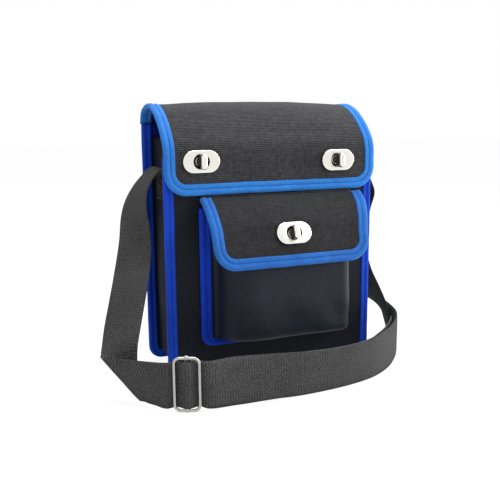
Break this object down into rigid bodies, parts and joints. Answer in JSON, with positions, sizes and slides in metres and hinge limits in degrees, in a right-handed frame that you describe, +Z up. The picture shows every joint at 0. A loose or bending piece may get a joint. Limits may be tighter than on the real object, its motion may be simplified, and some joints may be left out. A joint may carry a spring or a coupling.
{
  "type": "canvas tool bag",
  "caption": "Small upright canvas tool bag with a bound main flap, a bound front pocket under its own flap, oval turn locks and a webbing shoulder strap with a slider.",
  "frame": {"origin": "on the floor, under the middle of the front panel's bottom binding, in the plane of the front panel's outer face", "axes": "+X to the bag's right as seen from the front, +Y from the front panel to the back panel, +Z up"},
  "size_m": [0.3266, 0.1571, 0.2531],
  "materials": {
    "blue_tape": "woven binding tape, stitched",
    "body_canvas": "smooth coated canvas, blue-black",
    "flap_canvas": "ribbed charcoal canvas",
    "grey_webbing": "dark grey herringbone webbing",
    "nickel": "nickel plated"
  },
  "bodies": {
    "bag": {"back_binding": "blue_tape", "back_panel": "body_canvas", "front_binding": "blue_tape", "front_panel": "body_canvas", "gusset": "body_canvas", "lock_base_left": "nickel", "lock_base_pocket": "nickel", "lock_base_right": "nickel", "pocket_back": "body_canvas", "pocket_binding": "blue_tape", "pocket_body": "body_canvas", "pocket_flap_seam": "body_canvas", "shoulder_strap": "grey_webbing", "strap_return": "grey_webbing", "strap_slider": "nickel"},
    "main_flap": {"main_flap": "flap_canvas", "main_flap_binding": "blue_tape", "lock_plate_left": "nickel", "lock_plate_right": "nickel", "lock_washer_left": "nickel", "lock_washer_right": "nickel"},
    "pocket_flap": {"pocket_flap": "flap_canvas", "pocket_flap_binding": "blue_tape", "lock_plate_pocket": "nickel", "lock_washer_pocket": "nickel"},
    "toggle_left": {"lock_toggle_left": "nickel"},
    "toggle_right": {"lock_toggle_right": "nickel"},
    "toggle_pocket": {"lock_toggle_pocket": "nickel"}
  },
  "joints": [
    {"name": "main_flap_hinge", "type": "hinge", "parent": "bag", "child": "main_flap", "pos_m": [0, 0.0785, 0.235], "axis": [-1, 0, 0], "range_deg": [0, 150]},
    {"name": "pocket_flap_hinge", "type": "hinge", "parent": "bag", "child": "pocket_flap", "pos_m": [0, -0.0097, 0.166], "axis": [-1, 0, 0], "range_deg": [0, 104]},
    {"name": "toggle_left_turn", "type": "hinge", "parent": "bag", "child": "toggle_left", "pos_m": [-0.0715, -0.0039, 0.2017], "axis": [0, -1, 0], "range_deg": [0, 90]},
    {"name": "toggle_right_turn", "type": "hinge", "parent": "bag", "child": "toggle_right", "pos_m": [0.0645, -0.0039, 0.1996], "axis": [0, -1, 0], "range_deg": [0, 90]},
    {"name": "toggle_pocket_turn", "type": "hinge", "parent": "bag", "child": "toggle_pocket", "pos_m": [0.0045, -0.0332, 0.137], "axis": [0, -0.9426, 0.3338], "range_deg": [0, 90]}
  ]
}
